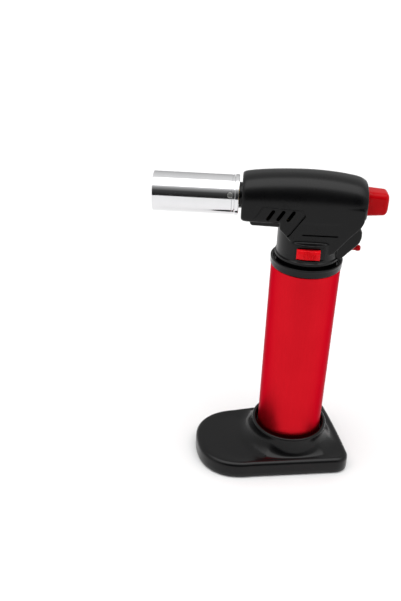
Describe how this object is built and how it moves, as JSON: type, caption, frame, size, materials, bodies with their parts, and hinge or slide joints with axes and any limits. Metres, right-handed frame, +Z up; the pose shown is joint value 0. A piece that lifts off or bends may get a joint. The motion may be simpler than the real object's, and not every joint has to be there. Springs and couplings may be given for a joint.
{
  "type": "butane torch",
  "caption": "Refillable hand torch: round tank in a push-on stand, pistol head with slide lock, piezo trigger, flow lever and a wide steel nozzle.",
  "frame": {"origin": "on the floor under the axis of the round tank, at the underside of the stand's pad", "axes": "+Z up along the tank, -X the way the nozzle points, +X out of the back of the head where the trigger is"},
  "size_m": [0.1286, 0.0732, 0.1894],
  "materials": {
    "satin_black_plastic": "satin moulded black plastic",
    "head_black_plastic": "fine textured black plastic",
    "gloss_black_plastic": "polished black plastic",
    "black_rubber": "soft black rubber",
    "red_anodised": "satin red anodised aluminium",
    "red_plastic": "glossy red plastic",
    "chrome": "polished plated steel",
    "steel": "zinc plated steel",
    "brass": "turned brass",
    "cloudy_nylon": "cloudy moulded nylon",
    "white_ceramic": "white ceramic",
    "felt": "pressed felt"
  },
  "bodies": {
    "stand": {"base_stand": "satin_black_plastic", "base_pad": "black_rubber"},
    "socket": {"socket_ring": "black_rubber"},
    "torch": {"tank_sleeve": "red_anodised", "bottom_cap": "satin_black_plastic", "fuel_tank": "cloudy_nylon", "collar_ring": "gloss_black_plastic", "filter_wick": "felt", "fill_valve_body": "brass", "fill_spring": "steel", "fill_seal": "black_rubber", "gas_valve_body": "brass", "valve_nut": "brass", "valve_plate": "satin_black_plastic", "valve_spring": "steel", "lever_pin": "steel", "lever_bracket": "steel", "gas_tube": "brass", "gas_jet": "brass", "burner_tube": "brass", "burner_head": "steel", "electrode": "steel", "electrode_sleeve": "white_ceramic", "ignition_lead": "black_rubber", "nozzle_boss": "gloss_black_plastic", "nozzle_flange": "chrome", "nozzle_tube": "chrome", "nozzle_screw_1": "steel", "nozzle_screw_2": "steel", "nozzle_screw_3": "steel", "housing_left": "head_black_plastic", "housing_right": "head_black_plastic", "housing_screw_1": "steel", "housing_screw_2": "steel", "housing_screw_3": "steel", "piezo_case": "satin_black_plastic"},
    "trigger": {"trigger_button": "red_plastic", "piezo_plunger": "satin_black_plastic", "trigger_spring": "steel"},
    "valve_lever": {"valve_lever": "steel"},
    "valve_stem": {"valve_stem": "brass"},
    "flow_lever": {"flow_lever": "red_plastic"},
    "slide_lock": {"safety_slide": "red_plastic", "safety_latch": "satin_black_plastic"},
    "fill_stem": {"fill_stem": "brass"}
  },
  "joints": [
    {"name": "stand_swivel", "type": "hinge", "parent": "stand", "child": "socket", "pos_m": [0, 0, 0.014], "axis": [0, 0, 1], "continuous": true},
    {"name": "torch_lift", "type": "slide", "parent": "socket", "child": "torch", "axis": [0, 0, 1], "range_m": [0, 0.03]},
    {"name": "trigger_press", "type": "slide", "parent": "torch", "child": "trigger", "axis": [-1, 0, 0], "range_m": [0, 0.006], "stiffness_N_per_m": 900, "springref_m": -0.004},
    {"name": "valve_lever_tilt", "type": "hinge", "parent": "torch", "child": "valve_lever", "pos_m": [-0.0075, 0, 0.1574], "axis": [0, 1, 0], "range_deg": [0, 6.2]},
    {"name": "valve_stem_push", "type": "slide", "parent": "torch", "child": "valve_stem", "axis": [0, 0, -1], "range_m": [0, 0.001], "deforming": ["valve_spring"]},
    {"name": "flow_turn", "type": "hinge", "parent": "torch", "child": "flow_lever", "pos_m": [0, 0, 0.1455], "axis": [0, 0, 1], "range_deg": [-9, 9]},
    {"name": "lock_slide", "type": "slide", "parent": "torch", "child": "slide_lock", "axis": [-1, 0, 0], "range_m": [0, 0.004]},
    {"name": "fill_push", "type": "slide", "parent": "torch", "child": "fill_stem", "axis": [0, 0, 1], "range_m": [0, 0.002], "stiffness_N_per_m": 600, "springref_m": -0.002, "deforming": ["fill_spring"]}
  ],
  "couplings": [
    {"joint": "valve_lever_tilt", "follows": "trigger_press", "rad_per_m": 17.45},
    {"joint": "valve_stem_push", "follows": "trigger_press", "ratio": 0.13}
  ]
}
